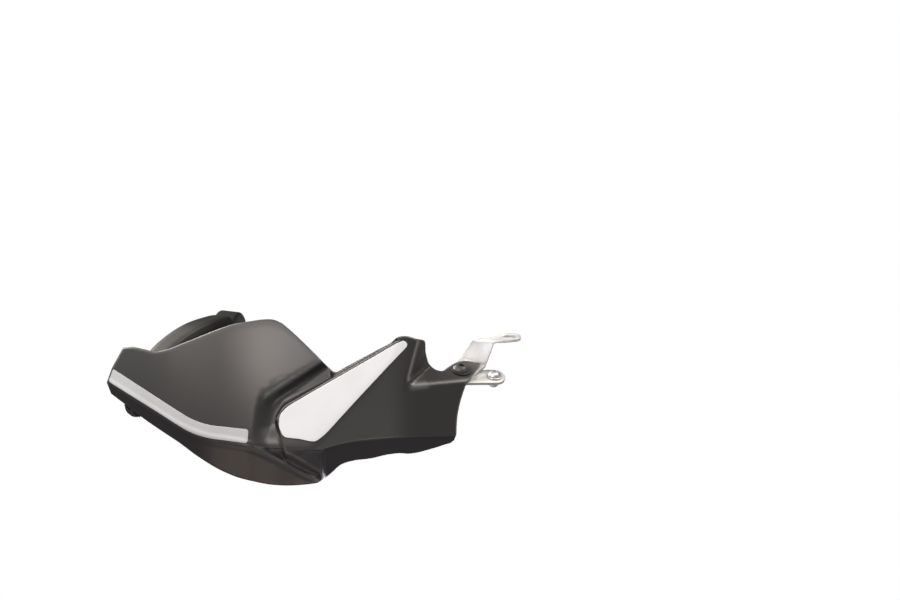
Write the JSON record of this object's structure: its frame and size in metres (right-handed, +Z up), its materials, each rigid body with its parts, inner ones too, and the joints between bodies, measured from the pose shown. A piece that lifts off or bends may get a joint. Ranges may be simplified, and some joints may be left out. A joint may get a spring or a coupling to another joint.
{
  "type": "motorcycle hand guard",
  "caption": "Moulded right-hand wind guard for a motorcycle handlebar, with an arm to the bar end and sheet metal brackets to the mirror mount and lever perch.",
  "frame": {"origin": "centre of the handlebar's end face, where the arm's boss meets it, on the bar end screw's axis", "axes": "+X inboard along the handlebar's end, +Y to the rider, +Z up; the guard stands ahead, towards -Y"},
  "size_m": [0.3148, 0.1627, 0.1249],
  "materials": {
    "shell_plastic": "fine moulded grain, satin",
    "strip_film": "silver reflective film",
    "panel_film": "white reflective film",
    "arm_plastic": "coarse moulded grain",
    "black_steel": "black oxide, semi-gloss",
    "black_nylon": "moulded",
    "plain_steel": "zinc plated",
    "bracket_steel": "satin, fine brushed",
    "insert_brass": "turned"
  },
  "bodies": {
    "root": {"guard_shell": "shell_plastic", "strip_reflector": "strip_film", "panel_reflector": "panel_film", "bar_end_arm": "arm_plastic", "boss_bush": "plain_steel", "bar_end_screw": "black_steel", "bar_end_washer": "plain_steel", "lip_screw": "black_steel", "lip_washer": "black_nylon", "lip_insert": "insert_brass", "tab_screw": "black_steel", "tab_washer": "black_nylon", "tab_back_washer": "plain_steel", "tab_nut": "plain_steel", "mirror_strap": "bracket_steel", "perch_plate": "bracket_steel", "perch_screw": "plain_steel", "perch_washer": "plain_steel", "perch_back_washer": "plain_steel", "perch_nut": "plain_steel"}
  },
  "joints": []
}
